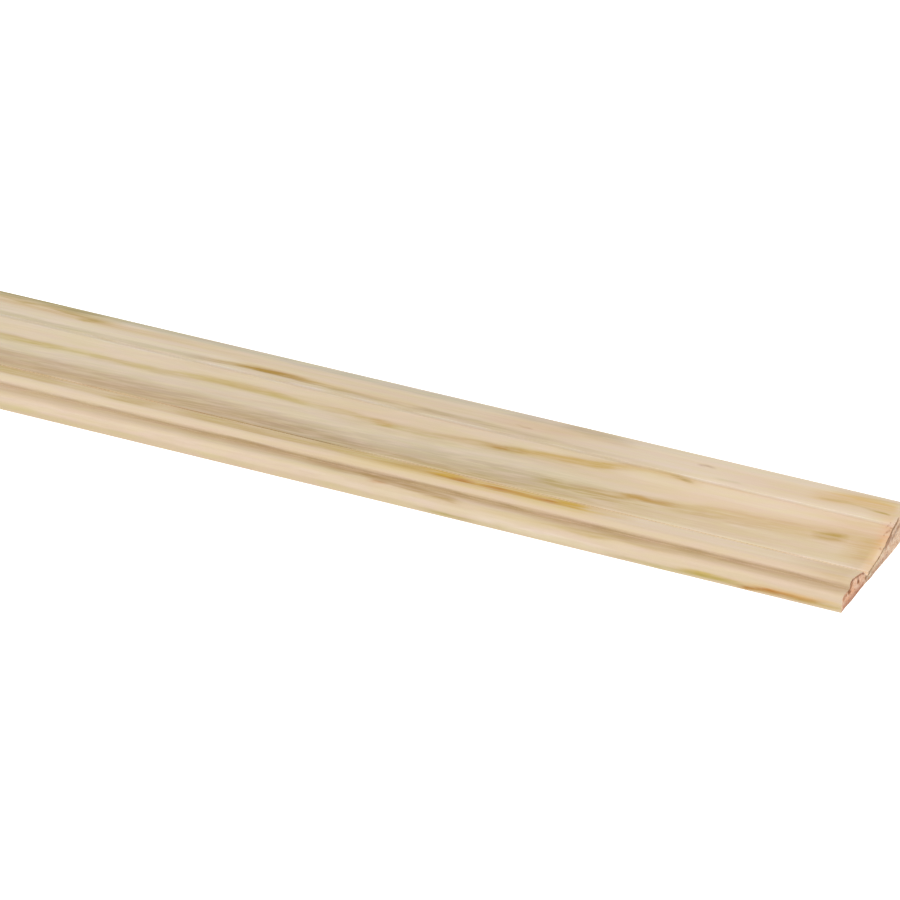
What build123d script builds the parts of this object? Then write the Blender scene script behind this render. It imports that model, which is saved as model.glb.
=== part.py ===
"""A pine moulding strip, planed from one length of stock, lying flat on its back.

The strip runs along X. Its thin edge faces -Y, its thick edge faces +Y, its flat back lies on
Z = 0, and the origin is at the middle of the back. From the thin edge to the thick edge the
face has a bead, a quirk, a torus that rolls down into a valley, a fillet, a cove that sweeps
up, a second fillet and a flat fascia.
"""

from build123d import *

import os

# Stock sizes, in millimetres
length = 2400.0
width = 60.0
thickness = 11.0

# Bead along the thin edge, and the quirk that ends it
bead_width = 7.1
bead_height = 5.8
bead_lean = 1.4
bead_radius = 1.7
quirk_height = 5.5
quirk_radius = 0.25

# Torus: it stands up out of the quirk, swells to its crown, then rolls down to the valley
torus_front_height = 7.3
torus_front_radius = 0.6
crown_reach = 2.3
crown_height = 8.2
crown_radius = 3.0
shoulder_reach = 11.5
shoulder_height = 6.2
shoulder_radius = 6.0
torus_width = 15.5

# Valley between the torus and the cove, the thinnest part of the strip
valley_height = 2.7
valley_width = 0.7
valley_radius = 0.3
lower_fillet_height = 0.8

# Cove and the fillet above it; the cove takes the width that the other members leave
fascia_width = 15.9
upper_fillet_height = 1.1
fillet_radius = 0.3

# The arris between the fascia and the thick edge; the corners of the back are left sharp
face_arris_radius = 0.7

# Places across the width, worked out from the thin edge
thin_edge = -width / 2
thick_edge = width / 2
quirk_y = thin_edge + bead_width
crown_y = quirk_y + crown_reach
shoulder_y = quirk_y + shoulder_reach
torus_foot_y = quirk_y + torus_width
cove_foot = (torus_foot_y + valley_width, valley_height + lower_fillet_height)
cove_top = (thick_edge - fascia_width, thickness - upper_fillet_height)

# Corners of the section, each with the radius that eases it, from the top of the cove round
# over the thick edge, along the back and over the thin edge to the foot of the cove
corners = [
    (cove_top, 0),
    ((cove_top[0], thickness), fillet_radius),
    ((thick_edge, thickness), face_arris_radius),
    ((thick_edge, 0), 0),
    ((thin_edge, 0), 0),
    ((thin_edge + bead_lean, bead_height), bead_radius),
    ((quirk_y, quirk_height), quirk_radius),
    ((quirk_y, torus_front_height), torus_front_radius),
    ((crown_y, crown_height), crown_radius),
    ((shoulder_y, shoulder_height), shoulder_radius),
    ((torus_foot_y, valley_height), valley_radius),
    ((cove_foot[0], valley_height), 0),
    (cove_foot, 0),
]
points = [point for point, radius in corners]
inner_radii = [radius for point, radius in corners[1:-1]]

with BuildPart() as moulding_strip:
    with BuildSketch(Plane.YZ):
        with BuildLine():
            FilletPolyline(*points, radius=inner_radii)
            TangentArc(cove_foot, cove_top, tangent=(1, 0))
        make_face()
    extrude(amount=length / 2, both=True)

moulding_strip.part.label = "moulding_strip"

os.makedirs("parts", exist_ok=True)
export_step(moulding_strip.part, "parts/moulding_strip.step")
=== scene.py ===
"""A profiled pine moulding strip, planed along its length and sawn off at both ends, on a pale studio floor.

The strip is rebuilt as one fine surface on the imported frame: its moulded section is carried along its
length, and both sawn ends are closed with rough end grain. Lengths are in metres unless a name says mm.
"""

import math

import bpy
import numpy as np
from bpy.props import FloatProperty, FloatVectorProperty, PointerProperty
from mathutils import Euler, Matrix, Vector
from mathutils.geometry import delaunay_2d_cdt


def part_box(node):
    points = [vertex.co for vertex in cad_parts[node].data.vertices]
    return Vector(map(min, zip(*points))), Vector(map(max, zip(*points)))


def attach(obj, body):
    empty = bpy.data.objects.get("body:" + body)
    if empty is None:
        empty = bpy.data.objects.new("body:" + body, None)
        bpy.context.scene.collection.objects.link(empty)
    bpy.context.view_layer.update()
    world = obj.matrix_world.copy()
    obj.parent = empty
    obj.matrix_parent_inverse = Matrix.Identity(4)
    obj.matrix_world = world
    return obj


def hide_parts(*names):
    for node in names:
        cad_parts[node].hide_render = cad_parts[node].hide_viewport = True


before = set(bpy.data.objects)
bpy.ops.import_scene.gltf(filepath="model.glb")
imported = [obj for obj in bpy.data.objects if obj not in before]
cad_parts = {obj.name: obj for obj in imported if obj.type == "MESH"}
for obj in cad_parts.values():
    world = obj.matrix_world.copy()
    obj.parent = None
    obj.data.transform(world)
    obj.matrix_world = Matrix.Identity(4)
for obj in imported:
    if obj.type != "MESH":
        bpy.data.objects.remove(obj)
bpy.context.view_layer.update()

bl_info = {
    "name": "Pine Moulding Strip",
    "version": (1, 0, 0),
    "blender": (4, 5, 0),
    "location": "View3D > Sidebar > Moulding",
    "description": "Builds a profiled pine moulding strip and the studio it is shown in",
    "category": "Add Mesh",
}

NODE = "moulding_strip"
BODY = "root"
MM = 0.001
SEED = 31
# Attribute for the tints of the stains and of the painted light and shade, and the strip's own UV map
TINT = "stain_and_painted_light"
BAKE_MAP = "OFBake"

LOW, HIGH = (np.array(corner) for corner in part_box(NODE))
LENGTH, WIDTH, THICKNESS = HIGH - LOW


def linear(hex_colour):
    """A linear RGB triple from an sRGB hex colour."""
    srgb = np.array([int(hex_colour[i:i + 2], 16) for i in (1, 3, 5)]) / 255
    return tuple(np.where(srgb <= 0.04045, srgb / 12.92, ((srgb + 0.055) / 1.055) ** 2.4))


def size(name, millimetres, description):
    """A length property whose default is given in millimetres."""
    return FloatProperty(
        name=name, description=description, default=millimetres * MM, unit="LENGTH", min=0.0)


def colour(name, hex_colour, description):
    """A colour property whose default is given as sRGB hex."""
    return FloatVectorProperty(
        name=name, description=description, default=linear(hex_colour), subtype="COLOR", size=3, min=0.0,
        max=1.0)


class SectionSizes(bpy.types.PropertyGroup):
    """The members of the moulded section, from the thin edge to the thick edge"""

    bead_width: size("Bead width", 7.1, "From the thin edge to the quirk")
    bead_height: size("Bead height", 5.8, "Top of the bead above the back")
    bead_lean: size("Bead lean", 1.4, "How far the thin edge leans back at the top of the bead")
    bead_radius: size("Bead radius", 1.7, "Rounding of the bead")
    quirk_height: size("Quirk height", 5.5, "Bottom of the quirk above the back")
    quirk_radius: size("Quirk radius", 0.25, "Rounding of the quirk")
    torus_front_height: size("Torus front height", 7.3, "Top of the torus's upright front")
    torus_front_radius: size("Torus front radius", 0.6, "Rounding of the torus's front")
    crown_reach: size("Crown reach", 2.3, "From the quirk to the torus's crown")
    crown_height: size("Crown height", 8.2, "Crown of the torus above the back")
    crown_radius: size("Crown radius", 3.0, "Rounding of the crown")
    shoulder_reach: size("Shoulder reach", 11.5, "From the quirk to the torus's shoulder")
    shoulder_height: size("Shoulder height", 6.2, "Shoulder of the torus above the back")
    shoulder_radius: size("Shoulder radius", 6.0, "Rounding of the shoulder")
    torus_width: size("Torus width", 15.5, "From the quirk to the foot of the torus")
    valley_height: size("Valley height", 2.7, "Bottom of the valley above the back")
    valley_width: size("Valley width", 0.7, "Flat bottom of the valley")
    valley_radius: size("Valley radius", 0.3, "Rounding at the foot of the torus")
    lower_fillet_height: size("Lower fillet", 0.8, "Riser between the valley and the cove")
    fascia_width: size("Fascia width", 15.9, "Flat along the thick edge")
    upper_fillet_height: size("Upper fillet", 1.1, "Riser between the cove and the fascia")
    fillet_radius: size("Fillet radius", 0.3, "Rounding of the upper fillet's arris")
    face_arris_radius: size("Arris radius", 0.7, "Rounding between the fascia and the thick edge")
    sharp_radius: size("Sharp corner", 0.08, "Wear on the corners that the cutter left sharp")


class PineColours(bpy.types.PropertyGroup):
    """Colours of the planed face and of the sawn ends"""

    earlywood: colour("Earlywood", "#E4D2B8", "Pale wood of the planed face")
    warm_wood: colour("Warm wood", "#DDC6A8", "Broad warmer bands of the planed face")
    end_wood: colour("End grain", "#EAC6A6", "Sawn end grain")
    end_pale: colour("Pale end grain", "#F5DCC3", "Torn, paler end grain")
    end_latewood: colour("End latewood", "#8A5238", "The dark ring across the sawn end")


class StudioSettings(bpy.types.PropertyGroup):
    """Camera and light"""

    azimuth: FloatProperty(
        name="Azimuth", description="How far the camera stands round towards the sawn end",
        default=math.radians(25.9), subtype="ANGLE")
    elevation: FloatProperty(
        name="Elevation", description="How far the camera looks down", default=math.radians(29.35),
        subtype="ANGLE")
    distance: size("Distance", 2125, "From the camera to the near corner of the sawn end")
    key_power: FloatProperty(
        name="Key light", description="Power of the large soft light", default=29.0, subtype="POWER",
        min=0.0)
    sky_strength: FloatProperty(
        name="Sky strength", description="Strength of the even light from all round", default=0.83, min=0.0)


def rounded(corners, radii, spacing):
    """Points along a path of straight runs whose corners are eased by arcs.

    At a corner where the path turns by angle a, an arc of radius r starts r * tan(a / 2) before the corner;
    its points are the arc's centre plus r times the unit vector that turns with the path. Straight runs
    are divided so that no step is longer than the spacing.
    """
    corners = np.array(corners, float)
    heading = np.diff(corners, axis=0)
    heading /= np.linalg.norm(heading, axis=1)[:, None]
    pieces = [corners[:1]]
    for corner, before, after, radius in zip(corners[1:-1], heading[:-1], heading[1:], radii):
        turn = math.atan2(before[0] * after[1] - before[1] * after[0], before @ after)
        start = corner - before * radius * math.tan(abs(turn) / 2)
        side = np.array([-before[1], before[0]]) * math.copysign(1, turn)
        steps = max(3, math.ceil(radius * abs(turn) / spacing))
        angle = np.linspace(0, turn, steps + 1)[:, None]
        turned = np.hstack([-side[0] * np.cos(angle) + side[1] * np.sin(angle),
                            -side[0] * np.sin(angle) - side[1] * np.cos(angle)])
        pieces.append(start + side * radius + radius * turned)
    pieces.append(corners[-1:])
    path = np.vstack(pieces)
    step = np.linalg.norm(np.diff(path, axis=0), axis=1)
    parts = np.maximum(1, np.ceil(step / spacing)).astype(int)
    place = np.repeat(np.arange(len(step)), parts)
    share = (np.arange(parts.sum()) - np.repeat(np.cumsum(parts) - parts, parts)) / parts[place]
    between = path[place] + share[:, None] * (path[place + 1] - path[place])
    return np.vstack([between, path[-1:]])


def face_outline(s, spacing):
    """The section's outline, from the thin edge's foot over the moulded face to the thick edge's foot.

    The cove is a circle that leaves the lower fillet level and ends on the upper fillet: its radius is
    (w * w + h * h) / (2 * h) for a cove w wide and h high.
    """
    quirk = s.bead_width
    foot = (quirk + s.torus_width + s.valley_width, s.valley_height + s.lower_fillet_height)
    top = (WIDTH - s.fascia_width, THICKNESS - s.upper_fillet_height)
    wide, high = top[0] - foot[0], top[1] - foot[1]
    radius = (wide**2 + high**2) / (2 * high)
    angle = np.linspace(0, math.asin(wide / radius), 1 + math.ceil(wide / spacing))
    cove = np.stack([foot[0] + radius * np.sin(angle), foot[1] + radius * (1 - np.cos(angle))], 1)
    lower = rounded(
        [(0, 0), (s.bead_lean, s.bead_height), (quirk, s.quirk_height), (quirk, s.torus_front_height),
         (quirk + s.crown_reach, s.crown_height), (quirk + s.shoulder_reach, s.shoulder_height),
         (quirk + s.torus_width, s.valley_height), (foot[0], s.valley_height), foot, cove[1]],
        [s.bead_radius, s.quirk_radius, s.torus_front_radius, s.crown_radius, s.shoulder_radius,
         s.valley_radius, s.sharp_radius, s.sharp_radius], spacing)
    upper = rounded(
        [cove[-2], top, (top[0], THICKNESS), (WIDTH, THICKNESS), (WIDTH, 0)],
        [s.sharp_radius, s.fillet_radius, s.face_arris_radius], spacing)
    outline = np.vstack([lower, cove[2:-2], upper])
    return outline + [LOW[1], LOW[2]]


def lattice_noise(places, cell, seed):
    """Smooth noise from -1 to 1: random values on a square lattice, blended between by 3t^2 - 2t^3.

    The places are rows of two coordinates, and cell gives the lattice's pitch along each of them.
    """
    values = np.random.default_rng(seed).uniform(-1, 1, (LATTICE, LATTICE))
    at = places / np.array(cell)
    low = np.floor(at).astype(int)
    t = at - low
    t = t * t * (3 - 2 * t)
    i, j = low[..., 0] % LATTICE, low[..., 1] % LATTICE
    u, v = t[..., 0], t[..., 1]
    i2, j2 = (i + 1) % LATTICE, (j + 1) % LATTICE
    return ((values[i, j] * (1 - u) + values[i2, j] * u) * (1 - v)
            + (values[i, j2] * (1 - u) + values[i2, j2] * u) * v)


def saw_recess(across, up):
    """How far the sawn end lies behind the cut's foremost point, over the section.

    It is the sum of coarse and fine tearing, the teeth's slanting ridges, and three pockets where a bundle
    of fibres was pulled out. A pocket is depth * exp(-(distance / reach)^2) deep.
    """
    places = np.stack([across, up], -1)
    coarse = lattice_noise(places, COARSE_TEARS, SEED)
    fine = lattice_noise(places, FINE_TEARS, SEED + 1)
    teeth = np.sin(2 * math.pi * (across + TOOTH_SLANT * up) / TOOTH_PITCH)
    even, by_coarse, by_fine, by_teeth = TEAR_SHARES
    recess = TEAR_DEPTH * (even + by_coarse * coarse + by_fine * fine + by_teeth * teeth)
    for pocket_across, pocket_up, reach, depth in TORN_POCKETS:
        far = np.hypot(across - pocket_across * MM - LOW[1], up - pocket_up * MM) / (reach * MM)
        recess = recess + depth * MM * np.exp(-far**2)
    return np.maximum(recess, 0)


LATTICE = 64
# Depth of the tearing, its even, coarse, fine and toothed shares, the sizes of its coarse and fine features,
# the teeth's ridges, and how far the tearing reaches along the faces
TEAR_DEPTH = 0.2 * MM
TEAR_SHARES = (1.1, 0.6, 0.4, 0.12)
COARSE_TEARS = (2.4 * MM, 1.6 * MM)
FINE_TEARS = (0.7 * MM, 0.5 * MM)
TOOTH_PITCH = 1.3 * MM
TOOTH_SLANT = 0.35
TEAR_REACH = 1.2 * MM
# The pockets, as (place across, height, reach, depth) in mm from the thin edge's foot
TORN_POCKETS = [(6.9, 4.4, 0.7, 0.6), (14.8, 4.2, 0.8, 0.7), (12.6, 6.3, 0.5, 0.35)]

# Places along the strip are distances from the sawn end at +X
CLOSE_STRETCH = 370 * MM
CLOSE_STEP = 2 * MM
FAR_STEP = 15 * MM
END_STEPS = np.array([0, 0.25, 0.5, 0.8, 1.2, 1.6, 2.0, 2.4, 2.8, 3.3, 3.8, 4.4, 5.0, 5.7, 6.5]) * MM
FACE_SPACING = 0.45 * MM
BACK_SPACING = 4 * MM
END_SPACING = 0.36 * MM
# Points inside the sawn end: their random shift and margin in shares of the spacing, how far beside them the
# face's height is read, and how many of the outline's points lie straight up the thin edge
GRID_SHIFT = 0.33
GRID_MARGIN = 0.45
RISER_REACH = 0.25 * MM
EDGE_POINTS = 8
# Points closer than this, in mm, are one in the sawn end's triangles
MERGE_DISTANCE = 1e-7
SHARP_ANGLE = math.radians(38)

# Stains in the wood, and painted light and shade, as (colour that the pale wood turns to, half width,
# softness towards the thin edge and towards the thick edge, and the distances from the end at +X, girths from
# the thin edge's foot and strengths of its stations). A single number holds at every station, and past the
# outer ones nothing changes. Sizes are in mm and strengths in %
STAINS_AND_PAINTED_LIGHT = [
    # greyer wood away from the sawn end
    ("#D9C7AC", 17, 5.4, 16, [55.9, 70.7, 107.8, 138, 172.3, 342.8, 2401], [52.8, 52.8, 52.2, 51.9, 51.5,
     52.5, 52.5], [0, 10, 75, 100, 100, 100, 90]),
    # brown band under the cove
    ("#C6AD8C", 2.9, 0.8, 2.7, [155.9, 175.4, 202.8, 226.6, 254.5, 278.5, 310.5, 334.5, 396.1, 458.9, 523.1],
     [28.2, 29.2, 31.3, 34.1, 34.7, 35.1, 35.1, 34.6, 34.8, 34.8, 34.8], [0, 40, 75, 95, 95, 95, 85, 80, 90,
     50, 0]),
    # its yellower lower part
    ("#CDB286", 6.6, 1.2, 0.7, [174.9, 198, 221.3, 272.3, 328.3, 389.5, 515.9], [24.9, 24.9, 24.9, 24.9, 24.9,
     24.9, 25], [0, 30, 60, 70, 60, 60, 0]),
    # painted shade at the foot of the cove, under the torus
    ("#D4BD9A", 3.2, 1.4, 3, [3.1, 4.5, 27.1, 41.7, 64, 93.8, 116.3, 146.5, 184.5], [36, 36, 36, 36, 36.3,
     36.4, 36.4, 36, 35.4], [0, 70, 85, 95, 100, 100, 100, 70, 0]),
    # shade in the middle of the cove
    ("#D8C4A9", 2.7, 2.4, 2, [74.6, 97, 127.2, 219.3], [43.6, 43.6, 43.6, 43.1], [0, 40, 70, 60]),
    # brown band, faded part
    ("#CBB698", 3, 1.4, 3, [93.9, 108.9, 127.5, 146.3, 176.8, 207.4, 238.7], [36.7, 36.7, 36.1, 35.7, 35.4,
     34.7, 34.7], [0, 20, 60, 75, 80, 80, 0]),
    # resin along the torus
    ("#C4A964", 1.7, 1.4, 2.1, [155.7, 169, 182.5, 197.6, 220.2, 231.9, 250.2, 262.3, 271.6, 279.3, 285.5,
     298.1, 307.8, 327.9, 352.2], [21.7, 21.7, 21.8, 21.1, 19.9, 19.9, 21.1, 21.8, 20.5, 20.2, 20.5, 21.8,
     21.1, 21.2, 21.2], [0, 80, 90, 80, 60, 70, 50, 10, 50, 60, 20, 10, 50, 60, 0]),
    # resin streak on the torus's back
    ("#C9A03A", 2.2, 1.4, 1.4, [80.6, 86.2, 99.1, 103.5, 110.2, 121.4, 132.6, 142.1, 149.7, 155.5, 161.4,
     176.8], [22.7, 22.3, 21.5, 21.4, 21.4, 21.1, 20.8, 21.1, 21.1, 21.4, 22.9, 22.3], [0, 20, 50, 100, 100,
     90, 90, 90, 100, 100, 75, 0]),
    # its yellow skirt
    ("#DFC794", 1.4, 1.6, 1.2, [89.8, 101, 153.7, 170.9, 182.3, 195.6], [17.5, 17.5, 17.6, 17.6, 17.4, 17.2],
     [0, 100, 100, 100, 70, 0]),
    # amber under it
    ("#CDB274", 0.7, 0.9, 0.9, [131.4, 140.8, 154.1, 177, 190.4], [18.3, 18.3, 18.3, 18.4, 18.4], [0, 30, 50,
     45, 0]),
    # orange spots in it
    ("#CB9440", 0.9, 0.9, 0.9, [109.5, 113.2, 120.1, 127.6, 132.2, 136.8, 140.6, 144.2, 147.2, 151.7], [19.6,
     19.6, 19.9, 20, 20.1, 20.1, 20.1, 20, 19.9, 19.6], [0, 80, 30, 40, 80, 50, 0, 60, 80, 0]),
    # haze above the streak
    ("#D5B989", 0.9, 0.7, 1.4, [77, 91.9, 106.8, 129.3, 144.5, 163.7, 179, 198.2, 213.6], [32.4, 32.4, 32.2,
     32.1, 32.1, 32.2, 32.2, 32.1, 28.8], [0, 45, 55, 70, 80, 80, 80, 40, 0]),
    # long thin streak, left
    ("#CBB276", 0.5, 1, 0.6, [215.1, 221.5, 232.8, 240.6, 249.4, 255.3, 268.9, 277.2, 284.5, 304.5, 313.3,
     320.4, 328.3, 340.4, 422.8, 465], [47.6, 47.8, 48.4, 48.4, 48.5, 48.4, 47.8, 46.8, 46.9, 46.9, 46.8,
     46.3, 46, 45.7, 45.3, 45.3], [0, 70, 100, 90, 100, 90, 70, 60, 80, 70, 70, 100, 100, 70, 60, 0]),
    # long thin streak, middle
    ("#CEB480", 0.6, 0.7, 0.7, [133.4, 137, 144.3, 151.9, 163.1, 170.6, 182.2, 188.9, 201.9, 213.5, 225.5],
     [49.2, 48.8, 48.2, 48, 47.3, 46.8, 47.1, 47.2, 47.6, 47.6, 48], [0, 60, 100, 80, 60, 40, 50, 80, 70, 50,
     0]),
    # long thin streak, right
    ("#CFAC66", 0.6, 0.7, 0.6, [68.8, 73.7, 78.4, 83, 89.7, 97, 103.3, 108.7, 118.7, 127.9, 136.2, 142.5],
     [52.4, 52.4, 53, 53.3, 53.4, 52.7, 51.6, 50.9, 50.5, 49.9, 48.9, 48.2], [0, 30, 50, 40, 40, 45, 75, 95,
     80, 80, 75, 0]),
    # haze beside the thin streak
    ("#D5BE93", 1.1, 1.5, 1.5, [59.8, 70.9, 89.7, 104, 122, 151.7, 162.6, 173.8, 197.1, 216.8], [53, 53, 53.2,
     51.4, 49.2, 47.5, 46.3, 45.6, 45.7, 46], [0, 5, 15, 55, 50, 50, 50, 55, 50, 0]),
    # its dark end
    ("#B39A66", 0.2, 0.3, 0.3, [72.9, 74, 75.2, 77.5, 82.9], [52.4, 52.4, 52.4, 52.7, 53.1], [0, 20, 100, 60,
     0]),
    # orange spots on it
    ("#D6B47E", 0.4, 0.4, 0.5, [183.9, 187, 190.8, 194], [47.3, 47.2, 47.2, 47.3], [0, 100, 100, 0]),
    # more orange spots on it
    ("#D0AA6C", 0.4, 0.4, 0.4, [139.9, 142.5, 146.2, 149.7], [48.4, 48.3, 48.1, 48.1], [0, 90, 90, 0]),
    # olive streak in the cove, low
    ("#CDB27C", 0.7, 0.8, 1.2, [81.4, 89.9, 95.7, 101.6, 109.2, 117.1, 121.8, 128.2], [38.1, 37.8, 37.4, 37.1,
     37.4, 38.2, 38.6, 37.8], [0, 40, 70, 100, 70, 80, 80, 0]),
    # olive streak in the cove, high
    ("#C9A35C", 0.6, 0.5, 0.7, [71.8, 78.6, 84.5, 89, 92.6, 97.1, 106.4, 117.6], [41.5, 41, 40.8, 41, 40.5,
     39.7, 39.5, 39.3], [0, 60, 90, 100, 100, 70, 55, 0]),
    # tan band in the cove
    ("#D4BA92", 1.9, 1.3, 1.1, [0.7, 9, 19.6, 33.9, 50.3, 66.3, 80.7, 95], [46.3, 45.2, 44.5, 43.7, 43.1,
     41.8, 40.7, 39.2], [50, 70, 90, 100, 100, 100, 60, 0]),
    # olive blotch
    ("#C5AA6A", 0.8, 0.8, 0.7, [12.1, 13.7, 15.7, 19.5, 23.6, 26.4], [45.8, 45.2, 44.7, 44.1, 43.6, 43.3], [0,
     30, 95, 100, 55, 0]),
    # ochre near the end
    ("#D5B887", 3.3, 3.6, 2, [1, 2.1, 3.6, 6.9, 10.9, 15], [44.1, 43.3, 42.5, 41.7, 40.8, 40.3], [0, 70, 85,
     80, 40, 0]),
    # peach wood by the cut
    ("#DABD9B", 1.4, 1.8, 1.5, [0.4, 5.7, 14.7, 25.7, 40.4], [51.1, 50.9, 50.6, 50.7, 50.7], [100, 100, 80,
     40, 0]),
    # painted shade at the foot of the cove, by the cut
    ("#D8BC98", 2, 2, 2.4, [1.8, 4.7, 9.8], 34.8, [90, 50, 0]),
    # painted shade in the quirk between the bead and the torus
    ("#C2A984", 0.3, 3, 0.4, [25.4, 54.5, 106.3, 205.1, 244, 267.6, 291.3, 323.3, 2401], 11.5, [85, 90, 100,
     100, 95, 82, 70, 68, 70]),
    # painted light just above the quirk, against its shade
    ("#E9D8C0", 0.2, 0.2, 0.3, [-0.6, 166.7], 12, [70, 90]),
    # brown patch on the bead
    ("#BA9A64", 1, 0.5, 0.6, [140.1, 142.3, 145.6, 153.4, 165.2, 179.2, 188.5, 204], [6.6, 6.6, 7, 7.5, 8.2,
     9.4, 9, 9.2], [0, 20, 80, 85, 80, 65, 40, 0]),
    # second patch on the bead
    ("#CFB68A", 1.1, 0.7, 0.8, [-0.6, 2.8, 16.5, 38.8, 53.5, 67.7, 82.5, 92.9, 104.6, 119.8], [7.9, 7.6, 7.6,
     8.8, 8.8, 7.9, 7.9, 6.6, 7.6, 7.9], [20, 60, 30, 20, 30, 60, 90, 90, 50, 0]),
    # orange spot under it
    ("#CFA276", 0.5, 0.3, 0.4, [167.9, 170.9, 173.8, 177.4], [7.5, 7.4, 7.2, 6.8], [0, 90, 90, 0]),
    # pinker wood on the bead's front, made paler as a painted highlight
    ("#ECD9C1", 0.9, 0.8, 0.6, [22.7, 51.8, 96, 201.9, 240.7, 319.9, 2401], [4.2, 4, 3.8, 3.8, 3.7, 3.7, 3.7],
     [40, 60, 60, 75, 100, 100, 80]),
    # fringe of the thin edge
    ("#D8C89B", 0.4, 0.8, 0.5, [155.7, 163.4, 190.2, 215.2, 223, 230.8, 256.2, 271.9, 295.7, 309.7, 319.7,
     484.8, 484.81], [1.2, 1.4, 1.6, 1.2, 1.9, 1.7, 1.7, 1.4, 1.4, 1.7, 1.7, 1.5, 1.5], [20, 50, 60, 20, 70,
     60, 30, 60, 60, 90, 70, 60, 0]),
    # blush under the patch
    ("#D6C096", 0.9, 0.6, 0.6, [81.6, 92.7, 111.3, 133.8, 152.7, 175.5, 194.6], [6, 6, 6, 5.9, 5.9, 5.9, 5.8],
     [0, 30, 50, 50, 75, 50, 0]),
    # pale thin edge
    ("#F0E2CE", 0.7, 0.5, 0.6, [73.5, 88.3, 103.2, 129.4, 138.8], 1.9, [0, 30, 60, 50, 0]),
    # olive fringe
    ("#C4B27C", 0.2, 0.5, 0.4, [53.3, 58.7, 69.8, 79, 88.2, 110.5, 122.5, 126.3, 133, 140.6, 146.3, 151.2,
     159.5], [1.4, 1.2, 1.1, 1, 0.8, 0.9, 0.9, 0.9, 1, 1, 1.2, 1.2, 1.2], [60, 50, 70, 60, 10, 10, 20, 50, 30,
     80, 100, 70, 0]),
    # yellow run
    ("#CFB670", 0.5, 0.5, 0.5, [33.2, 36.1, 42, 48.6, 53, 57.3, 61.7], [1.2, 1.4, 1.6, 1.9, 1.9, 1.6, 1.4],
     [0, 40, 70, 100, 100, 60, 0]),
    # warm edge of the orange run
    ("#DCBA7E", 0.8, 0.5, 0.5, [0, 9.8, 15.2, 26, 35.1, 42.3], [1.7, 2, 2.1, 1.9, 1.6, 1.6], [50, 70, 90, 80,
     60, 0]),
    # orange run
    ("#C78F48", 0.2, 0.4, 0.4, [0, 7.2, 10.8, 15.2, 18.8, 22.4, 26.7, 31, 34.6, 37.5], [1.4, 1.7, 1.9, 1.9,
     1.9, 1.8, 1.8, 1.5, 1.1, 1], [0, 15, 50, 55, 60, 70, 100, 80, 90, 0]),
    # amber patch, far left
    ("#C3A871", 1.6, 0.6, 1.6, [299.6, 303.7, 310.1, 320.4, 334.9, 340.8, 350.9, 375.7, 404.8], [68.1, 68.1,
     66.5, 66.9, 68.2, 66.9, 68.1, 66.7, 66.7], [0, 30, 60, 90, 90, 90, 70, 70, 0]),
    # its tongue
    ("#C9B06F", 0.5, 0.6, 0.6, [301.9, 307.4, 312, 314.8, 318.3], [64.9, 64.5, 64.1, 63.3, 63.7], [0, 40, 90,
     80, 0]),
    # faint line
    ("#C8B896", 0.6, 0.8, 1, [258.8, 264.7, 274.6, 292.2, 320.2, 344.5, 469.5, 521], [56.9, 56.8, 56.6, 55.8,
     55.4, 55.2, 55.1, 55.1], [0, 50, 50, 40, 50, 50, 50, 0]),
    # dark streak
    ("#B38D40", 0.7, 0.5, 1, [205.6, 212.8, 220.8, 228.8, 234.4, 243, 249.2, 256.9, 262.8, 270.6], [56.8,
     57.1, 57.5, 57.8, 57.9, 57.8, 57.4, 57.1, 56.9, 56.6], [0, 30, 60, 90, 100, 100, 90, 60, 30, 0]),
    # its amber upper side
    ("#DCBD86", 0.8, 1, 1.3, [171, 182.8, 202.2, 218.1, 232.2, 246.1, 255.7], [57.4, 57.8, 57.8, 58.3, 58.9,
     59.1, 58.6], [0, 40, 50, 60, 60, 50, 0]),
    # dark streak's trail
    ("#B9A27A", 0.4, 0.5, 0.8, [109.2, 124.7, 147.8, 156.3, 163.1, 170, 175.6, 182.6, 195.9, 207.8, 211.4,
     216.5], [55.8, 56.6, 57, 57.2, 56.9, 57, 57.4, 57.4, 56.9, 57.2, 56.6, 56.6], [0, 20, 30, 50, 40, 80, 90,
     30, 30, 50, 30, 0]),
    # red-brown fleck
    ("#B08E78", 0.2, 0.4, 0.4, [69.9, 71.2, 72.7, 73.9, 75.2], [63.5, 63.7, 63.9, 63.5, 63.5], [0, 90, 60, 90,
     0]),
    # second fleck
    ("#BD9C7C", 0.1, 0.3, 0.3, [137.1, 138.2, 140, 142.5, 144.3], [61, 60.9, 60.7, 61.2, 61], [0, 90, 70, 50,
     0]),
    # warm wood above it
    ("#DDBFA0", 2.4, 2.4, 2.4, [98.8, 113.9, 125, 142.9, 157.9], [67.4, 67.4, 65.3, 62.9, 62.1], [0, 30, 60,
     60, 0]),
    # tan at the thick edge
    ("#CBB48E", 1.5, 1.6, 1.6, [98.8, 106.4, 114.1, 121.1, 129.9], [66.1, 66.1, 66.5, 68.2, 67.5], [0, 50, 70,
     60, 0]),
    # paler wood beside them
    ("#E5D4BF", 2.4, 1.6, 2.4, [43.8, 62.3, 84.7, 107.3, 126.2], 59.7, [0, 60, 90, 60, 0]),
    # greenish dash
    ("#C9BA92", 0.2, 0.5, 0.6, [56.1, 58.3, 64.8, 67.8], [57.4, 57.4, 57, 57.1], [0, 60, 50, 0]),
    # yellow patch near the end
    ("#D9BA86", 2.3, 1.3, 1.6, [2, 3.8, 6, 10.7, 17.9, 23.6, 29.2, 35.2], [64.1, 64.1, 64.1, 64.1, 63.7, 62.5,
     61.7, 62.1], [30, 80, 90, 90, 90, 80, 60, 0]),
    # yellow wood below the patch
    ("#DDC298", 1.7, 1, 1, [0.3, 1.7, 4.3, 8, 11.6], [58.1, 58.1, 58.1, 58.3, 58.3], [0, 70, 75, 50, 0]),
    # yellow wood over the patch
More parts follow.
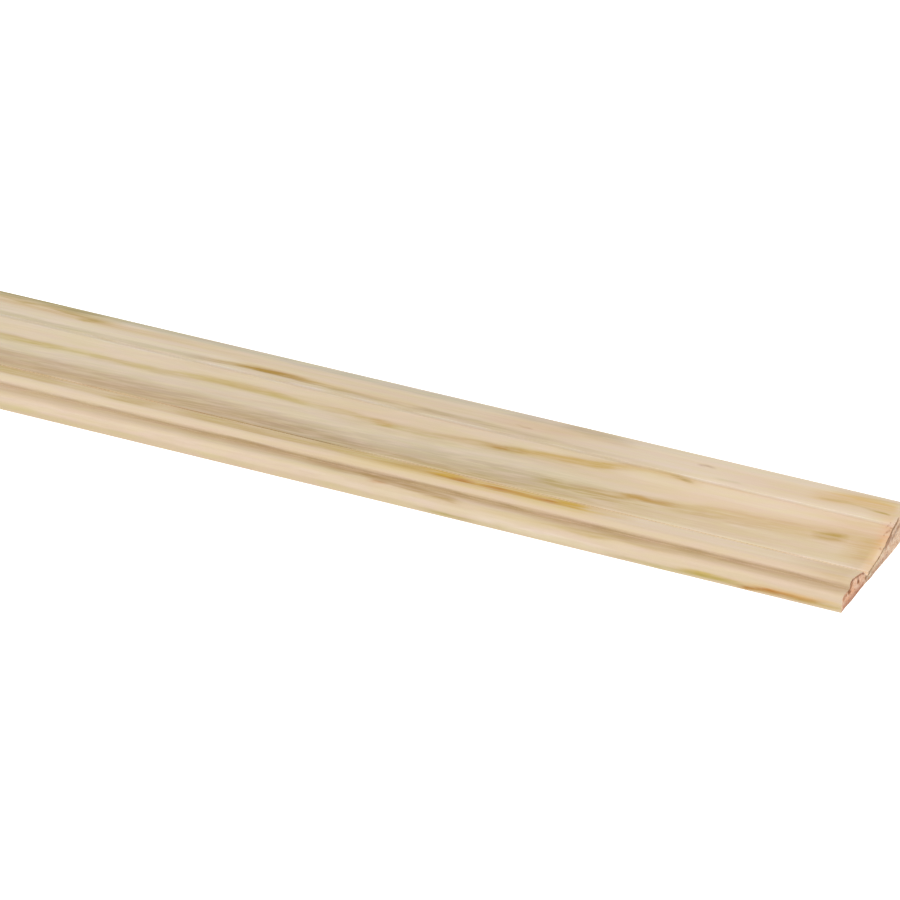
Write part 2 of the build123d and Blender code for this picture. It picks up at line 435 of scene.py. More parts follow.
    ("#DDC298", 1.2, 1, 1, [3, 4.9, 9.8, 18, 23.8, 29.7], [65.7, 65.9, 66.2, 66.5, 66.5, 66.5], [0, 70, 70,
     90, 80, 0]),
    # olive line under it
    ("#BDA55F", 0.2, 0.5, 0.4, [2.9, 3.7, 5.3, 7.1, 9.7, 14, 20.4, 27.5, 31], [59.3, 59.3, 59.7, 59.7, 59.8,
     60.5, 61, 60.3, 60], [0, 50, 90, 100, 50, 30, 40, 40, 0]),
    # tan patch on the torus
    ("#D4BA96", 3.6, 2.3, 1.2, [1.6, 4, 10, 16.8, 26.4], [18.4, 18.8, 19.3, 19.9, 20.8], [60, 90, 80, 50, 0]),
    # painted light in the corner of the upper fillet, against its shade
    ("#E6D8C7", 0.3, 0.2, 0.2, [93.5, 146.5, 223.9], 53.9, [80, 70, 80]),
    # painted highlight on the upper fillet
    ("#EEDCC3", 0.5, 0.8, 1.1, [1.4, 12.3, 26.9, 37.9, 56.4, 65.6, 75, 89.9], 54.8, [30, 40, 50, 40, 20, 40,
     20, 0]),
    # shade on the upper fillet
    ("#D3BC9C", 0.8, 0.5, 0.8, [75.3, 90.3, 116.6, 177.8, 232.4, 264, 344.7], [55.5, 55.5, 55.5, 55.5, 55.6,
     55.6, 55.6], [0, 20, 90, 100, 90, 60, 50]),
    # painted highlight on the lower fillet
    ("#F0E0C8", 0.4, 0.8, 0.7, [4.8, 9.9, 25.2, 45.3, 61.9, 91.6, 144.3, 159.6, 175, 198.1, 233.2, 260.8,
     2401], [31.7, 31.7, 31.7, 31.7, 31.7, 31.7, 31.8, 31.8, 31.8, 31.8, 31.8, 31.8, 31.8], [20, 30, 30, 40,
     30, 10, 0, 10, 60, 75, 60, 45, 30]),
    # painted light in the valley, against its shade
    ("#F5E6D5", 2.7, 0.3, 0.1, [6.8, 21.3, 35.9, 61.7, 98.9, 129, 155.6, 174.7, 232.9, 332.6], [28.8, 28.8,
     27.7, 27.7, 27.8, 28.8, 28.8, 28.8, 27.8, 28.8], [35, 50, 70, 85, 80, 40, 40, 100, 100, 90]),
    # painted shade on the bead's top towards the quirk, left
    ("#D6C3A2", 0.8, 0.8, 0.8, [172.4, 191.6, 222.5, 321.2], 7.4, [0, 70, 80, 60]),
    # warm front of the torus, left
    ("#DDC5A6", 1.9, 0.6, 2.3, [92.2, 137.1, 167.4, 198.1, 276.2, 324.2], 15, [0, 20, 70, 100, 95, 50]),
    # dark arc of torn fibres, highest
    ("#A87F60", 0.2, 0.2, 0.2, [0.7, 1.2, 1.6, 2.2, 2.6], [55.7, 55, 53.9, 53.1, 52.7], [0, 80, 50, 80, 0]),
    # arc of torn fibres, second
    ("#AE8468", 0.2, 0.2, 0.2, [-0.2, 0.8, 1.7, 2, 2.4], [51.6, 51.4, 50.7, 49.7, 49.2], [0, 70, 90, 80, 0]),
    # arc of torn fibres, third
    ("#AE8A6C", 0.2, 0.2, 0.2, [-0.9, -0.3, 0.7, 1.3], [52.5, 52.7, 52.9, 52.5], [0, 60, 80, 0]),
    # small arc of torn fibres
    ("#BC9068", 0.2, 0.2, 0.2, [0.1, 0.6, 1.3, 1.7], [43.4, 43.8, 44.2, 43.9], [0, 60, 80, 0]),
    # cream, fuzzy wood along the cut
    ("#EBCFAC", 9, 1.5, 2.5, [1.2, 2.2, 3.2, 4.6], [38.5, 38, 37, 36.5], [95, 80, 35, 0]),
    # pinker wood at its upper end
    ("#E6C6AA", 3.5, 2.5, 2.5, [2, 3.5, 5.5], 51, [90, 60, 0]),
    # painted shade on the far arris
    ("#C2B6A2", 0.8, 1, 0.8, [7.8, 78.1, 99.9, 122.6, 161.8, 191.6, 230.8, 274.5, 311, 351.9, 2401], [68.1,
     68.1, 68.1, 68.1, 68, 67.9, 67.9, 67.9, 68.9, 69.1, 69.1], [30, 20, 25, 55, 60, 75, 75, 55, 50, 48, 50]),
]
# The pale wood that a stroke's colour is read against, and the wander of its middle line, as (how far, size
# along the strip, size across it) in mm
STAIN_PAPER = "#E1CCB0"
STAIN_WANDER = [(0.35, 23, 6), (0.25, 7, 2)]


def seeded_stains():
    """Stains for the rest of the length, drawn at random in the manner of the listed ones."""
    draw = np.random.default_rng(SEED + 7)
    made = []
    arch = np.linspace(-1, 1, SEEDED_STATIONS)
    for _ in range(SEEDED_STAINS):
        middle, reach = draw.uniform(*SEEDED_MIDDLES), draw.uniform(*SEEDED_REACHES)
        girth = draw.uniform(*SEEDED_GIRTHS) + draw.normal(0, SEEDED_BEND, arch.size).cumsum()
        strength = 100 * draw.uniform(*SEEDED_STRENGTHS, arch.size) * np.cos(arch * math.pi / 2)
        half = draw.choice(SEEDED_HALVES)
        made.append((SEEDED_COLOURS[draw.integers(len(SEEDED_COLOURS))], half, 0.6 + 0.5 * half,
                     0.6 + 0.7 * half, middle + reach * arch, girth, strength))
    return made


# The random stains: how many, their stations, and the ranges in mm that they are drawn from
SEEDED_STAINS = 110
SEEDED_STATIONS = 7
SEEDED_MIDDLES = (330, 2400)
SEEDED_REACHES = (50, 260)
SEEDED_GIRTHS = (1, 70)
SEEDED_BEND = 0.63
SEEDED_STRENGTHS = (0.35, 1)
SEEDED_HALVES = [0.3, 0.5, 0.8, 1.5, 3.0]
SEEDED_COLOURS = ["#C9B395", "#CEB887", "#C9A35C", "#D4BA92", "#BF9F6C", "#D6C4AA", "#C4B27C"]


def tinted(tint, share, hex_colour, paper):
    """The tint, turned at each point by a share towards a colour that is read against the paper."""
    return tint * (1 - share[..., None] * (1 - np.array(linear(hex_colour)) / np.array(linear(paper))))


def stain_and_painted_light_of(distance, girth):
    """The tint that the stains and the painted light and shade lay over the planed face: a product of one
    factor for each stroke.

    Beside a stroke's middle line its strength is exp(-(t / softness)^2), where t is how far the point lies
    beyond the half width, and the middle line and strength run straight between the stroke's stations. The
    line wanders with slow noise, as resin and latewood do.
    """
    at = np.stack([distance, girth], -1)
    wander = sum(by * MM * lattice_noise(at, (along * MM, across * MM), SEED + 2 + number)
                 for number, (by, along, across) in enumerate(STAIN_WANDER))
    tint = np.ones((*np.shape(distance), 3))
    for hex_colour, half, soft_low, soft_high, *rows in [*STAINS_AND_PAINTED_LIGHT, *seeded_stains()]:
        along, middle, strength = np.broadcast_arrays(*rows)
        aside = girth + wander - np.interp(distance, along * MM, middle) * MM
        soft = np.where(aside < 0, soft_low, soft_high) * MM
        beyond = np.maximum(np.abs(aside) - half * MM, 0)
        share = np.interp(distance, along * MM, strength / 100) * np.exp(-(beyond / soft) ** 2)
        tint = tinted(tint, share, hex_colour, STAIN_PAPER)
    return tint


def end_stain_and_painted_shade_of(across, up):
    """The tint over the sawn end, a product of one factor for each stroke.

    A stroke's share is exp(-(t / softness)^2), where t is how far the point lies beyond the half width from
    the nearest of the stroke's straight runs.
    """
    places = np.stack([across - LOW[1], up], -1) / MM
    wander = [lattice_noise(places, END_WANDER_SIZE, SEED + number) for number in (8, 9)]
    places = places + END_WANDER * np.stack(wander, -1)
    tint = np.ones((len(places), 3))
    for hex_colour, half, soft, strength, path in END_STAINS_AND_PAINTED_SHADE:
        far = np.full(len(places), np.inf)
        path = np.array(path, float)
        for start, step in zip(path[:-1], np.diff(path, axis=0)):
            share = np.clip((places - start) @ step / (step @ step), 0, 1)[:, None]
            far = np.minimum(far, np.linalg.norm(places - start - share * step, axis=1))
        share = strength * np.exp(-(np.maximum(far - half, 0) / soft) ** 2)
        tint = tinted(tint, share, hex_colour, END_PAPER)
    return tint


# Marks on the sawn end, and a painted shadow along the torus's outline, as (colour that the end grain turns
# to, half width, softness, strength, path). The path's points are (place across, height) in mm from the thin
# edge's foot
END_STAINS_AND_PAINTED_SHADE = [
    # the bead's and the torus's redder wood
    ("#E9B38E", 3.0, 2.0, 0.6, [(3.5, 3), (10, 3.6), (16, 3.4)]),
    # the dark ring just under the cove, a pale ring below it, and the knots that break it
    ("#AA8460", 0.3, 0.4, 1.0, [
      (21.4, 2.2), (24, 2.9), (32.4, 4.4), (37, 5.9), (41.5, 7.7), (45, 9.1), (49, 10.1)]),
    ("#E8CBA4", 0.5, 0.5, 0.7, [(24, 1.7), (32, 3.1), (38, 4.8)]),
    ("#B08468", 0.35, 0.6, 0.9, [(38.5, 4.8), (41.5, 6.1), (43, 6.8)]),
    ("#B08A70", 0.25, 0.5, 0.8, [(44, 5.2), (47, 6.6), (50, 7.4)]),
    # outline of the torus, dark with torn fibres and a painted shadow along them
    ("#96664A", 0.15, 0.32, 1.0, [(7.3, 6.0), (8.2, 7.0), (9.6, 7.4)]),
    ("#A07256", 0.14, 0.34, 0.9, [(10, 7.5), (13, 7.0), (16, 6.3), (18.2, 5.8), (20, 4.6)]),
    # knots of torn fibres, darker wood along the back edge, and pale spots
    ("#8A5A3C", 0.18, 0.45, 1.0, [(14.4, 4.9), (15.1, 3.7)]),
    ("#9A6844", 0.2, 0.45, 0.95, [(6.2, 5.0), (7.3, 4.0), (7.8, 3.7)]),
    ("#AC7850", 0.2, 0.5, 0.9, [(7.6, 5.0), (8.8, 5.8), (9.4, 6.2)]),
    ("#B8835F", 0.25, 0.5, 0.8, [(2.6, 4.2), (4.2, 4.6)]),
    ("#C49379", 0.5, 0.75, 0.8, [(3, 0.7), (9, 0.9), (13.5, 1.1), (18.5, 0.9)]),
    ("#BE957A", 0.3, 0.6, 0.7, [(22, 0.6), (30, 0.8), (40, 1.2)]),
    ("#F8D2B4", 0.35, 0.5, 0.9, [(11.8, 5.6), (12.6, 4.9), (12.9, 4.2)]),
    ("#F8D2B4", 0.3, 0.4, 0.9, [(15.8, 4.9), (16.6, 4.2)]),
    ("#F3C4A0", 0.4, 0.5, 0.8, [(4.2, 3.2), (6.2, 2.6), (9, 3.0)]),
    ("#F3C4A0", 0.3, 0.5, 0.8, [(9.4, 4.4), (11, 3.2)]),
    ("#F4D2B4", 0.4, 0.6, 0.7, [(33, 2.6), (36, 3.4)]),
]
# The plain end grain that those colours are read against, and the wander of the strokes and its size in mm
END_PAPER = "#EAC6A6"
END_WANDER = 0.3
END_WANDER_SIZE = (2.1, 1.3)


def section_height(across, outline):
    """Height of the moulded face over points across the section, taken low beside a riser."""
    steps = (-RISER_REACH, 0, RISER_REACH)
    return np.min([np.interp(across + step, outline[:, 0], outline[:, 1]) for step in steps], axis=0)


def end_points(outline):
    """Points inside the section, on a grid whose points are shifted at random by a third of its pitch."""
    draw = np.random.default_rng(SEED + 5)
    across, up = np.meshgrid(np.arange(LOW[1], HIGH[1], END_SPACING),
                             np.arange(LOW[2], HIGH[2], END_SPACING), indexing="ij")
    across, up = ((line + draw.uniform(-GRID_SHIFT, GRID_SHIFT, line.shape) * END_SPACING).ravel()
                  for line in (across, up))
    margin = GRID_MARGIN * END_SPACING
    inside = (up > margin) & (up < section_height(across, outline) - margin)
    inside &= (across > LOW[1] + margin) & (across < HIGH[1] - margin)
    lean = np.interp(up, outline[:EDGE_POINTS, 1], outline[:EDGE_POINTS, 0])
    inside &= across > lean + margin
    return np.stack([across, up], 1)[inside]


def end_triangles(loop, inner):
    """Triangles that fill the section between its loop and the inner points, as rows of point numbers.

    It is the Delaunay triangulation, in mm, that keeps to the loop.
    """
    places = [Vector(point) for point in np.vstack([loop, inner]) * 1000]
    around = list(range(len(loop)))
    _, _, faces, numbers, _, _ = delaunay_2d_cdt(places, [], [around], 1, MERGE_DISTANCE)
    number = np.array([n[0] for n in numbers])
    return number[np.array([face for face in faces if len(face) == 3])]


def stations():
    """Distances from the +X end of the strip's sections: close near that end, and closest at both cuts."""
    near = np.arange(END_STEPS[-1] + CLOSE_STEP, CLOSE_STRETCH, CLOSE_STEP)
    rest = LENGTH - CLOSE_STRETCH - END_STEPS[-1]
    far = CLOSE_STRETCH + np.arange(0, rest, FAR_STEP)
    return np.concatenate([END_STEPS, near, far, LENGTH - END_STEPS[::-1]])


# Rows of the strip's UV map, in shares of its side: a gap, a half of the long face, a half of the back, and
# the box of one sawn end
MAP_GAP = 0.01
FACE_ROW = 0.37
BACK_ROW = 0.05
END_BOX = (0.48, 0.09)


def cut_shares(values, cut):
    """The side of a cut that each step between values lies on, and its two ends as shares of that side."""
    side = (np.arange(len(values) - 1) >= cut).astype(int)
    low = values[[0, cut]][side, None]
    high = values[[cut, -1]][side, None]
    return side, (np.stack([values[:-1], values[1:]], 1) - low) / (high - low)


def map_places(distance, girth, corner, points, ends):
    """Places on the strip's UV map of the corners of all faces.

    The long surfaces are cut halfway along, and the face and the back are cut at the section's two lower
    corners. In each of the four rows, u is how far the point lies towards +X from the row's start, and v
    its girth from the row's first line, both as shares of the row. An end's u and v are its places across
    and up, as shares of the section's box.
    """
    second, u = cut_shares(distance, np.searchsorted(distance, LENGTH / 2))
    behind, v = cut_shares(girth, corner)
    tall = np.array([FACE_ROW, BACK_ROW])[behind, None]
    v = MAP_GAP + 2 * behind[:, None] * (FACE_ROW + MAP_GAP) + v * tall
    v = v[None] + second[:, None, None] * (tall + MAP_GAP)[None]
    long = np.empty((len(second), len(behind), 4, 2))
    long[..., 0] = (MAP_GAP + (1 - u) * (1 - 2 * MAP_GAP))[:, None, [0, 0, 1, 1]]
    long[..., 1] = v[..., [0, 1, 1, 0]]
    foot = MAP_GAP + 2 * (FACE_ROW + MAP_GAP) + 2 * (BACK_ROW + MAP_GAP)
    places = [long.reshape(-1, 2)]
    for number, faces in enumerate(ends):
        across, up = ((points[faces.ravel(), 1:] - LOW[1:]) / (WIDTH, THICKNESS)).T
        across = 1 - across if number else across
        places.append(np.column_stack([
            MAP_GAP + number * (END_BOX[0] + MAP_GAP) + across * END_BOX[0], foot + up * END_BOX[1]]))
    return np.vstack(places)


def strip_mesh(outline):
    """Points, four-sided faces, three-sided faces, tints and map places of the whole strip.

    A point of the long surfaces is (x, y, z) = (x at the station, outline or back point), so the section is
    carried straight along X. Near a cut, x is drawn back by the saw's recess times
    exp(-(distance / reach)^2). Both ends are filled with triangles whose points lie back from the cut by
    the same recess.
    """
    steps = int(WIDTH / BACK_SPACING)
    back = np.stack([np.linspace(HIGH[1], LOW[1], steps + 1)[1:-1], np.full(steps - 1, LOW[2])], 1)
    loop = np.vstack([outline, back])
    girth = np.concatenate([[0], np.cumsum(np.linalg.norm(np.diff(loop, axis=0), axis=1))])
    distance = stations()
    recess = saw_recess(loop[:, 0], loop[:, 1])
    fade = [np.exp(-((d / TEAR_REACH) ** 2))[:, None] for d in (distance, LENGTH - distance)]
    x = HIGH[0] - distance[:, None] - fade[0] * recess + fade[1] * recess
    around = len(loop)
    points = np.empty((len(distance), around, 3))
    points[:, :, 0] = x
    points[:, :, 1:] = loop
    at = np.arange(len(distance) * around).reshape(len(distance), around)
    after = np.roll(at, -1, axis=1)
    # Stations run towards -X, so these quads face outwards
    sides = np.stack([at[:-1], after[:-1], after[1:], at[1:]], -1).reshape(-1, 4)
    far, tall = np.meshgrid(distance, girth, indexing="ij")
    tint = stain_and_painted_light_of(far, tall)
    tint[:, len(outline):] = 1

    inner = end_points(outline)
    triangles = end_triangles(loop, inner)
    ends, inside = [], []
    behind = saw_recess(inner[:, 0], inner[:, 1])
    for first, end, sign in ((at[0], HIGH[0], 1), (at[-1], LOW[0], -1)):
        start = points.shape[0] * around + len(inner) * len(inside)
        number = np.concatenate([first, start + np.arange(len(inner))])
        turned = triangles if sign > 0 else triangles[:, ::-1]
        ends.append(number[turned])
        inside.append(np.column_stack([end - sign * behind, inner]))
    every = np.vstack([points.reshape(-1, 3), *inside])
    closed = np.append(girth, girth[-1] + np.linalg.norm(loop[0] - loop[-1]))
    places = map_places(distance, closed, len(outline) - 1, every, ends)
    sawn = end_stain_and_painted_shade_of(inner[:, 0], inner[:, 1])
    tints = np.vstack([tint.reshape(-1, 3), sawn, sawn])
    return every, sides, np.vstack(ends), tints, places


def mesh_object(name, points, quads, triangles):
    """A new mesh object from rows of points, four-sided faces and three-sided faces."""
    mesh = bpy.data.meshes.new(name)
    mesh.vertices.add(len(points))
    mesh.vertices.foreach_set("co", points.astype(np.float32).ravel())
    corners = np.concatenate([quads.ravel(), triangles.ravel()]).astype(np.int32)
    counts = np.concatenate([np.full(len(quads), 4), np.full(len(triangles), 3)])
    mesh.loops.add(len(corners))
    mesh.loops.foreach_set("vertex_index", corners)
    mesh.polygons.add(len(counts))
    mesh.polygons.foreach_set("loop_start", (np.cumsum(counts) - counts).astype(np.int32))
    mesh.update(calc_edges=True)
    mesh.validate()
    mesh.polygons.foreach_set("use_smooth", np.ones(len(counts), bool))
    mesh.set_sharp_from_angle(angle=SHARP_ANGLE)
    piece = bpy.data.objects.new(name, mesh)
    bpy.context.scene.collection.objects.link(piece)
    return piece


def emptied(block):
    """A material or a world and its node tree, with nothing in it."""
    block.use_nodes = True
    block.node_tree.nodes.clear()
    return block, block.node_tree


def node(tree, kind, inputs=None, **settings):
    """Adds a node with its settings, gives each input a value or a link, and returns the node's outputs."""
    made = tree.nodes.new(kind)
    for name, value in settings.items():
        setattr(made, name, value)
    for name, value in (inputs or {}).items():
        socket = made.inputs[name]
        if isinstance(value, bpy.types.NodeSocket):
            tree.links.new(value, socket)
        else:
            socket.default_value = (*value, 1) if socket.type == "RGBA" else value
    return made.outputs


def grain_pattern(tree, along, across, shift, detail=2.0, slant=0.0):
    """A pattern with features of this real size along and across the grain, which runs at this slant."""
    place = node(tree, "ShaderNodeTexCoord")["Object"]
    place = node(tree, "ShaderNodeMapping", {"Vector": place, "Rotation": (0, 0, -slant)})[0]
    place = node(tree, "ShaderNodeMapping", {
        "Vector": place, "Scale": (1 / along, 1 / across, 1 / across), "Location": (shift, shift, shift)})[0]
    return node(tree, "ShaderNodeTexNoise", {
        "Vector": place, "Scale": 1.0, "Detail": detail, "Roughness": 0.55})["Fac"]


def laid_over(tree, wood, colour, value, reads, gives=(0, 1)):
    """The wood with a colour laid over it; its share follows smoothly as the value crosses a range."""
    share = node(tree, "ShaderNodeMapRange", dict(enumerate((value, *reads, *gives))),
                 interpolation_type="SMOOTHSTEP")[0]
    return node(tree, "ShaderNodeMix", {0: share, 6: wood, 7: colour}, data_type="RGBA")[2]


def planed_pine(colours):
    """Pine, planed by a moulding cutter and left bare.

    The eye sees pale wood with long soft bands, fine fibre lines and a faint veil and mottle that slant a
    little across them, resin-yellow and brown streaks where a growth ring comes to the surface, and a dull
    sheen that is a little brighter on latewood. Over these lie painted shade in the quirk, at the cove's foot
    and on the far arris, and painted light in the valley, on the fillets, above the quirk and on the bead's
    front.
    """
    material, tree = emptied(bpy.data.materials.new("planed_pine"))
    bands = grain_pattern(tree, 320 * MM, 9 * MM, 3.0)
    wood = laid_over(tree, colours.earlywood, colours.warm_wood, bands, (0.35, 0.68))
    fibres = grain_pattern(tree, 22 * MM, 0.45 * MM, 1.0, detail=3.0)
    wood = laid_over(tree, wood, linear("#CDB08A"), fibres, (0.3, 0.75), (0, 0.14))
    veil = grain_pattern(tree, 90 * MM, 2.2 * MM, 5.0, detail=3.0, slant=0.03)
    wood = laid_over(tree, wood, linear("#D3B890"), veil, (0.52, 0.8), (0, 0.3))
    mottle = grain_pattern(tree, 16 * MM, 2.2 * MM, 12.0, slant=0.06)
    blush = laid_over(tree, (1.005, 0.985, 1.035), (0.995, 1.005, 0.95), mottle, (0.32, 0.68))
    # The attribute's tint holds the stains and the painted light and shade
    stain_and_painted_light = node(tree, "ShaderNodeAttribute", attribute_name=TINT)["Color"]
    patches = grain_pattern(tree, 14 * MM, 0.9 * MM, 9.0, detail=3.0, slant=0.06)
    stain_and_painted_light = laid_over(tree, (1, 1, 1), stain_and_painted_light, patches, (0.28, 0.68), (0.6, 1.12))
    for tint in (blush, stain_and_painted_light):
        wood = node(tree, "ShaderNodeMix", {0: 1.0, 6: wood, 7: tint}, data_type="RGBA",
                    blend_type="MULTIPLY")[2]
    rough = node(tree, "ShaderNodeMapRange", {0: fibres, 1: 0.3, 2: 0.7, 3: 0.52, 4: 0.66},
                 interpolation_type="SMOOTHSTEP")[0]
    bump = node(tree, "ShaderNodeBump", {"Height": fibres, "Strength": 0.35, "Distance": 0.05 * MM})[0]
    surface = node(tree, "ShaderNodeBsdfPrincipled", {
        "Base Color": wood, "Roughness": rough, "IOR": WOOD_IOR, "Specular IOR Level": 0.35, "Normal": bump})
    node(tree, "ShaderNodeOutputMaterial", {"Surface": surface[0]})
    return material


def sawn_pine(colours):
    """Pine end grain, left rough by a saw.

    The cut fibres soak up light, so the eye sees a darker salmon brown, speckled where bundles tore out, with
    one dark latewood ring under the cove and pale torn wood above it, and a painted shadow along the torus's
    outline.
    """
    material, tree = emptied(bpy.data.materials.new("sawn_pine_end_grain"))
    place = node(tree, "ShaderNodeTexCoord")["Object"]
    away = node(tree, "ShaderNodeVectorMath", {0: place, 1: PITH}, operation="SUBTRACT")[0]
    flat = node(tree, "ShaderNodeVectorMath", {0: away, 1: (0, 1, 1)}, operation="MULTIPLY")[0]
    radius = node(tree, "ShaderNodeVectorMath", {0: flat}, operation="LENGTH")["Value"]
    waver, grit, clumps = (
        node(tree, "ShaderNodeTexNoise", {
            "Vector": place, "Scale": 1 / (feature * MM), "Detail": detail, "Roughness": roughness})["Fac"]
        for feature, detail, roughness in ((5, 3.0, 0.5), (0.55, 4.0, 0.65), (1.5, 2.0, 0.5)))
    radius = node(tree, "ShaderNodeMath", {0: waver, 1: 1.1 * MM, 2: radius}, operation="MULTIPLY_ADD")[0]
    depth = node(tree, "ShaderNodeMath", {0: radius, 1: RING_RADIUS + 0.55 * MM}, operation="SUBTRACT")[0]
    ring = node(tree, "ShaderNodeMath", {0: depth}, operation="ABSOLUTE")[0]
    wood = laid_over(tree, colours.end_wood, colours.end_pale, clumps, (0.4, 0.62))
    wood = laid_over(tree, wood, linear("#BE8F74"), grit, (0.36, 0.5), (0.55, 0))
    wood = laid_over(tree, wood, linear("#85573F"), grit, (0.28, 0.38), (0.7, 0))
    # The attribute's tint holds the end's marks and the painted shadow along the torus's outline
    stain_and_painted_light = node(tree, "ShaderNodeAttribute", attribute_name=TINT)["Color"]
    wood = node(tree, "ShaderNodeMix", {0: 1.0, 6: wood, 7: stain_and_painted_light}, data_type="RGBA",
                blend_type="MULTIPLY")[2]
    wood = laid_over(tree, wood, colours.end_latewood, ring, (0.08 * MM, 0.3 * MM), (0.35, 0))
    bump = node(tree, "ShaderNodeBump", {"Height": grit, "Strength": 0.8, "Distance": 0.4 * MM})[0]
    surface = node(tree, "ShaderNodeBsdfPrincipled", {
        "Base Color": wood, "Roughness": 0.85, "IOR": WOOD_IOR, "Specular IOR Level": 0.2, "Normal": bump})
    node(tree, "ShaderNodeOutputMaterial", {"Surface": surface[0]})
    return material


# The middle of the tree's rings, above the face, and the radius of the dark ring across the section
PITH = (0.0, LOW[1] + 2.6 * MM, 106 * MM)
RING_RADIUS = 106 * MM
WOOD_IOR = 1.45


class MOULDING_OT_strip(bpy.types.Operator):
    """Builds the moulding strip: its planed surfaces, its sawn ends and their finish"""

    bl_idname = "moulding.strip"
    bl_label = "Moulding Strip"

    def execute(self, context):
        settings = context.scene.moulding_section
        colours = context.scene.moulding_colours
        outline = face_outline(settings, FACE_SPACING)
        points, quads, triangles, tints, places = strip_mesh(outline)
        strip = mesh_object("pine_strip", points, quads, triangles)
        # Tints of the stains and of the painted light and shade
        stain_and_painted_light = strip.data.attributes.new(TINT, "FLOAT_COLOR", "POINT")
        tints = np.column_stack([tints, np.ones(len(tints))])
        stain_and_painted_light.data.foreach_set("color", tints.astype(np.float32).ravel())
        bake_map = strip.data.uv_layers.new(name=BAKE_MAP)
        bake_map.uv.foreach_set("vector", places.astype(np.float32).ravel())
        strip.data.materials.append(planed_pine(colours))
        strip.data.materials.append(sawn_pine(colours))
        sawn = np.repeat([0, 1], [len(quads), len(triangles)]).astype(np.int32)
        strip.data.polygons.foreach_set("material_index", sawn)
        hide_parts(NODE)
        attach(strip, BODY)
        return {"FINISHED"}


def studio_floor():
    """White studio floor: white to the camera and to reflections, and still a little darker in shadow."""
    material, tree = emptied(bpy.data.materials.new("white_studio_floor"))
    ray = node(tree, "ShaderNodeLightPath")
    seen = ray["Is Camera Ray"]
    for other in ("Is Glossy Ray", "Is Transmission Ray"):
        seen = node(tree, "ShaderNodeMath", {0: seen, 1: ray[other]}, operation="MAXIMUM")[0]
    glow = node(tree, "ShaderNodeMath", {0: seen, 1: FLOOR_GLOW}, operation="MULTIPLY")[0]
    light = node(tree, "ShaderNodeEmission", {"Color": (1, 1, 1), "Strength": glow})[0]
    matt = node(tree, "ShaderNodeBsdfDiffuse", {"Color": linear("#E8E8E8"), "Roughness": 0.5})[0]
    both = node(tree, "ShaderNodeAddShader", {0: light, 1: matt})[0]
    node(tree, "ShaderNodeOutputMaterial", {"Surface": both})
    return material


def studio_world(strength):
    """Even light from all round, which the camera sees as white."""
    world, tree = emptied(bpy.data.worlds.new("studio_world"))
    seen = node(tree, "ShaderNodeLightPath")["Is Camera Ray"]
    level = node(tree, "ShaderNodeMapRange", {"Value": seen, "To Min": strength, "To Max": 1.0})["Result"]
    sky = node(tree, "ShaderNodeBackground", {"Color": (1, 1, 1), "Strength": level})[0]
    node(tree, "ShaderNodeOutputWorld", {"Surface": sky})
    return world


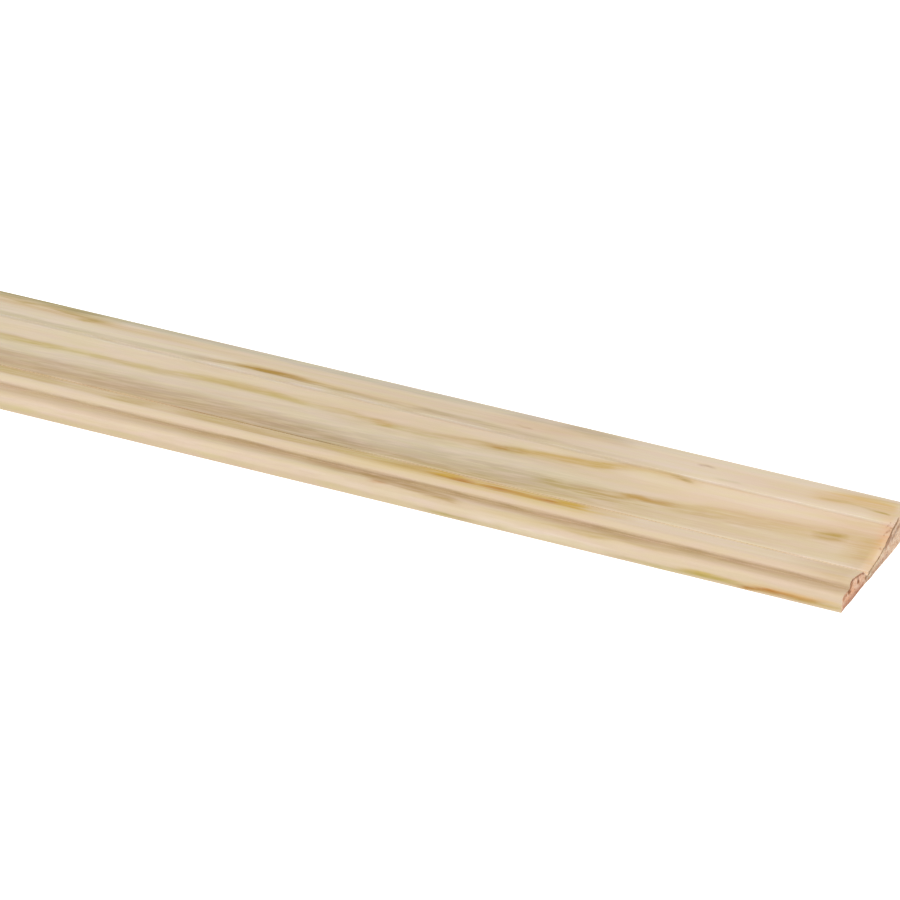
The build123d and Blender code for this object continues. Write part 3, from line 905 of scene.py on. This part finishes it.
class MOULDING_OT_stage(bpy.types.Operator):
    """Sets up the floor, the lights and the camera"""

    bl_idname = "moulding.stage"
    bl_label = "Studio"

    def execute(self, context):
        scene = context.scene
        studio = scene.moulding_studio
        half = FLOOR_SIDE / 2
        corners = np.array([(-half, -half, 0), (half, -half, 0), (half, half, 0), (-half, half, 0)])
        floor = mesh_object("studio_floor", corners, np.array([[0, 1, 2, 3]]), np.empty((0, 3), int))
        floor.data.materials.append(studio_floor())
        scene.world = studio_world(studio.sky_strength)

        key = bpy.data.objects.new("key_light", bpy.data.lights.new("key_light", "AREA"))
        key.data.shape = "RECTANGLE"
        key.data.size, key.data.size_y = KEY_SIZE
        key.data.energy = studio.key_power
        key.location = KEY_PLACE
        key.rotation_euler = (key.location - Vector(KEY_AIM)).to_track_quat("Z", "Y").to_euler()
        scene.collection.objects.link(key)

        camera = bpy.data.objects.new("camera", bpy.data.cameras.new("camera"))
        camera.data.lens = FOCAL_PIXELS / PHOTO_SIDE * camera.data.sensor_width
        turn = Euler((math.pi / 2 - studio.elevation, 0, studio.azimuth)).to_matrix()
        corner = Vector((HIGH[0], LOW[1], LOW[2]))
        middle = PHOTO_SIDE / 2
        offset = Vector((middle - CORNER_PIXEL[0], CORNER_PIXEL[1] - middle, FOCAL_PIXELS)) / FOCAL_PIXELS
        place = corner + turn @ offset * studio.distance
        camera.matrix_world = Matrix.LocRotScale(place, turn, None)
        scene.collection.objects.link(camera)
        scene.camera = camera
        scene.view_settings.view_transform = "Standard"
        return {"FINISHED"}


# How brightly the floor glows to the camera
FLOOR_GLOW = 0.72
# The photograph's side and focal length, and where its camera saw the near corner of the sawn end, in pixels
PHOTO_SIDE = 900
FOCAL_PIXELS = 6410
CORNER_PIXEL = (841.4, 613.2)
FLOOR_SIDE = 60.0
KEY_SIZE = (2.2, 1.6)
KEY_PLACE = (2.5, -1.7, 2.1)
KEY_AIM = (1.05, 0.0, 0.0)


class MOULDING_PT_panel(bpy.types.Panel):
    """Lists the moulding strip's builders and their settings"""

    bl_label = "Pine Moulding Strip"
    bl_space_type = "VIEW_3D"
    bl_region_type = "UI"
    bl_category = "Moulding"

    def draw(self, context):
        for kind in OPERATORS:
            self.layout.operator(kind.bl_idname)
        for name, group in GROUPS.items():
            column = self.layout.column()
            for setting in group.__annotations__:
                column.prop(getattr(context.scene, name), setting)


GROUPS = {
    "moulding_section": SectionSizes, "moulding_colours": PineColours, "moulding_studio": StudioSettings}
OPERATORS = (MOULDING_OT_strip, MOULDING_OT_stage)
CLASSES = (*GROUPS.values(), *OPERATORS, MOULDING_PT_panel)


def register():
    """Registers the classes and puts the settings on the scene"""
    for kind in CLASSES:
        bpy.utils.register_class(kind)
    for name, group in GROUPS.items():
        setattr(bpy.types.Scene, name, PointerProperty(type=group))


def unregister():
    """Takes the settings and the classes away again"""
    for name in GROUPS:
        delattr(bpy.types.Scene, name)
    for kind in reversed(CLASSES):
        bpy.utils.unregister_class(kind)


def main():
    """Builds the strip and the studio"""
    register()
    bpy.ops.moulding.strip()
    bpy.ops.moulding.stage()
    bpy.context.view_layer.update()


if __name__ == "__main__":
    main()
